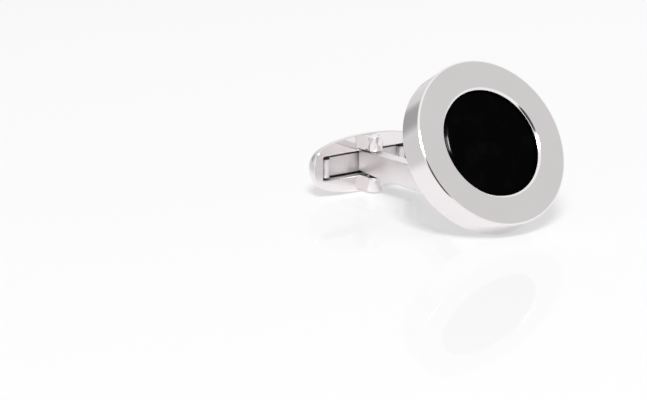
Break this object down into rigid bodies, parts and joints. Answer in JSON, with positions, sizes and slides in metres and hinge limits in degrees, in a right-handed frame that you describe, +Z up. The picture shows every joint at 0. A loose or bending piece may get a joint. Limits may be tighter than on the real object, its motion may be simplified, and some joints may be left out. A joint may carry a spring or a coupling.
{
  "type": "cufflink",
  "caption": "Cufflink with a thick round polished head, a flat rim round a black stone inlay, a bent post and a boat-shaped swivel bar held by a leaf spring.",
  "frame": {"origin": "middle of the footprint, on the table the cufflink lies on", "axes": "+Z up from the table, along the hinge pin; +X along the bar; +Y from the head to the bar"},
  "size_m": [0.018, 0.0282, 0.0168],
  "materials": {
    "polished_silver": "mirror polished plating",
    "black_onyx": "polished",
    "cement": "set resin",
    "steel": "smooth"
  },
  "bodies": {
    "head": {"head_case": "polished_silver", "inlay_cement": "cement", "onyx_inlay": "black_onyx", "post_pad": "polished_silver", "post": "polished_silver"},
    "bar": {"toggle_body": "polished_silver", "hinge_pin": "steel", "leaf_spring": "steel", "spring_rivet": "steel"}
  },
  "joints": [
    {"name": "bar_hinge", "type": "hinge", "parent": "head", "child": "bar", "pos_m": [0, 0.01005, 0.0032], "axis": [0, 0, -1], "range_deg": [-90, 90]}
  ]
}
